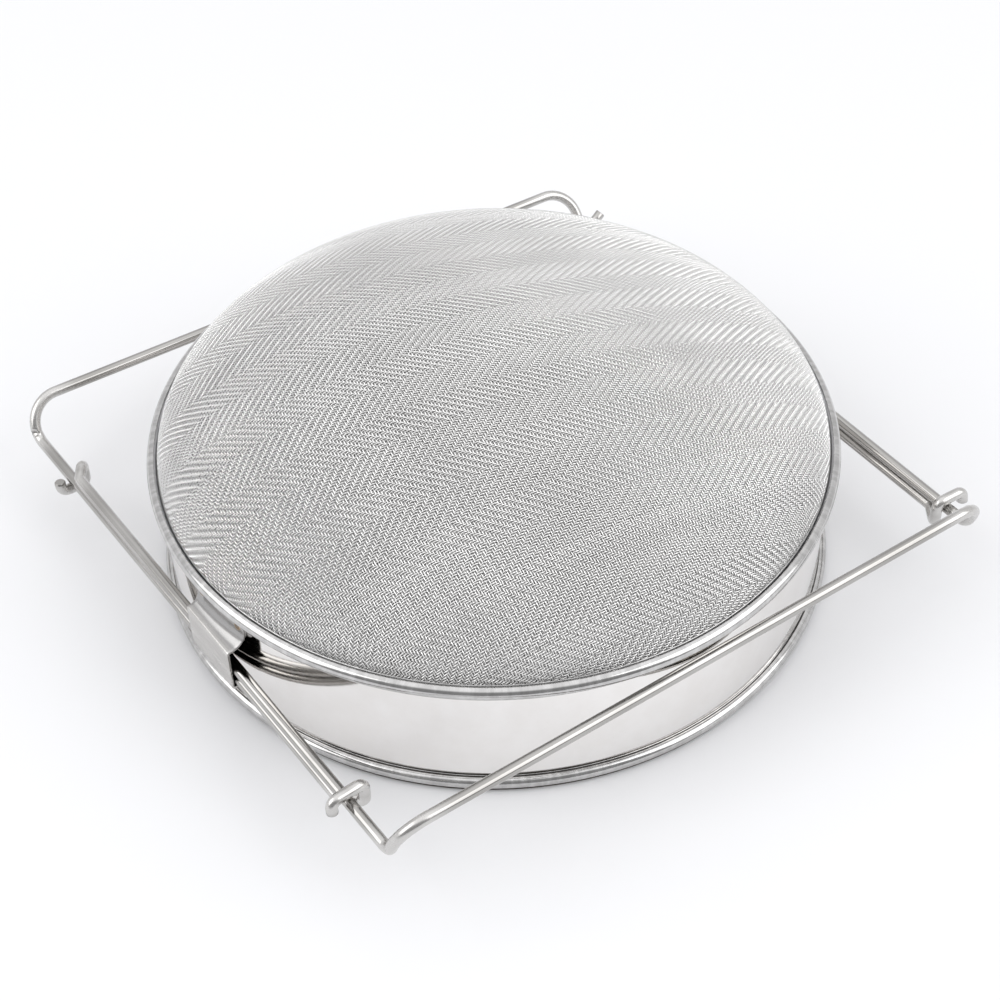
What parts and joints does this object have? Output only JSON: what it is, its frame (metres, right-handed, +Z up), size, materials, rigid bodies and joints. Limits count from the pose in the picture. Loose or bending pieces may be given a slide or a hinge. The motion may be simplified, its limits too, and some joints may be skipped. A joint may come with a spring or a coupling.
{
  "type": "double sieve strainer",
  "caption": "Round double honey strainer: a domed fine mesh sieve nested over a domed coarse sieve, with sliding bent-wire arms in guides on its band.",
  "frame": {"origin": "middle of the footprint, at the underside of the coarse sieve's flange that it stands on", "axes": "+Z up towards the top of the mesh domes; +Y towards the rear arm's bar; legs of both arms run along Y"},
  "size_m": [0.2567, 0.2529, 0.0919],
  "materials": {
    "band_steel": "mirror-polished stainless sheet",
    "rolled_rim_steel": "polished rolled stainless edge",
    "fine_mesh_steel": "fine herringbone twill wire cloth",
    "coarse_mesh_steel": "coarse plain wire cloth",
    "core_wire_steel": "drawn wire",
    "arm_wire_steel": "bright drawn stainless wire",
    "guide_steel": "satin stainless strip",
    "weld_steel": "heat-tinted spot weld"
  },
  "bodies": {
    "coarse_sieve": {"inner_band": "band_steel", "coarse_mesh": "coarse_mesh_steel", "inner_rim": "rolled_rim_steel", "inner_rim_wire": "core_wire_steel"},
    "fine_sieve": {"outer_band": "band_steel", "fine_mesh": "fine_mesh_steel", "mesh_rim": "rolled_rim_steel", "mesh_rim_wire": "core_wire_steel", "open_rim": "rolled_rim_steel", "open_rim_wire": "core_wire_steel", "left_guide": "guide_steel", "right_guide": "guide_steel", "guide_welds": "weld_steel"},
    "front_arm": {"front_arm": "arm_wire_steel"},
    "rear_arm": {"rear_arm": "arm_wire_steel"}
  },
  "joints": [
    {"name": "fine_sieve_lift", "type": "slide", "parent": "coarse_sieve", "child": "fine_sieve", "axis": [0, 0, 1], "range_m": [0, 0.065]},
    {"name": "front_arm_slide", "type": "slide", "parent": "fine_sieve", "child": "front_arm", "axis": [0, -1, 0], "range_m": [0, 0.058]},
    {"name": "rear_arm_slide", "type": "slide", "parent": "fine_sieve", "child": "rear_arm", "axis": [0, 1, 0], "range_m": [0, 0.048]}
  ]
}
